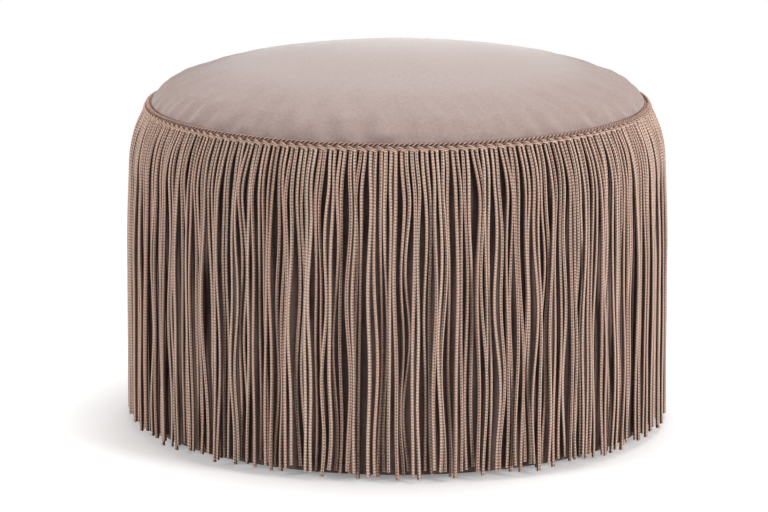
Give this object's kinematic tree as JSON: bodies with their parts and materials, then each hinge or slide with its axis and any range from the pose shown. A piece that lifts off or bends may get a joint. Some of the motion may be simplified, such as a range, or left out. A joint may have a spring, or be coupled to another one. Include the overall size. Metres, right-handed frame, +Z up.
{
  "type": "fringed pouf",
  "caption": "Round upholstered pouf with a domed velvet seat, a twisted cord heading and a long cord fringe that hangs round the drum to just above the floor.",
  "frame": {"origin": "on the floor, under the middle of the seat", "axes": "+Z up along the drum's axis; -Y is the side that faces the viewer of the picture, +X to that viewer's right"},
  "size_m": [0.5978, 0.5978, 0.4118],
  "materials": {
    "seat_velvet": "matte",
    "side_velvet": "matte",
    "fringe_cord": "satin",
    "heading": "satin",
    "lining": "matte",
    "foam": "matte",
    "wadding": "matte",
    "plywood": "matte",
    "softwood": "matte",
    "glide_nylon": "satin",
    "zinc_screw": "satin",
    "staple_wire": "satin"
  },
  "bodies": {
    "root": {"seat_cover": "seat_velvet", "side_cover": "side_velvet", "fringe_01": "fringe_cord", "fringe_02": "fringe_cord", "fringe_03": "fringe_cord", "fringe_04": "fringe_cord", "fringe_05": "fringe_cord", "fringe_06": "fringe_cord", "fringe_07": "fringe_cord", "fringe_08": "fringe_cord", "fringe_09": "fringe_cord", "fringe_10": "fringe_cord", "fringe_11": "fringe_cord", "fringe_12": "fringe_cord", "edge_gimp": "heading", "heading_cord": "heading", "bottom_lining": "lining", "seat_foam": "foam", "seat_wadding": "wadding", "side_padding": "wadding", "base_board": "plywood", "seat_board": "plywood", "drum_wall": "plywood", "post_1": "softwood", "post_2": "softwood", "post_3": "softwood", "post_4": "softwood", "post_5": "softwood", "post_6": "softwood", "glide_1": "glide_nylon", "glide_2": "glide_nylon", "glide_3": "glide_nylon", "glide_4": "glide_nylon", "glide_5": "glide_nylon", "glide_6": "glide_nylon", "base_screws": "zinc_screw", "seat_screws": "zinc_screw", "glide_screws": "zinc_screw", "hem_staples": "staple_wire", "lining_staples": "staple_wire", "wall_staples": "staple_wire"}
  },
  "joints": []
}
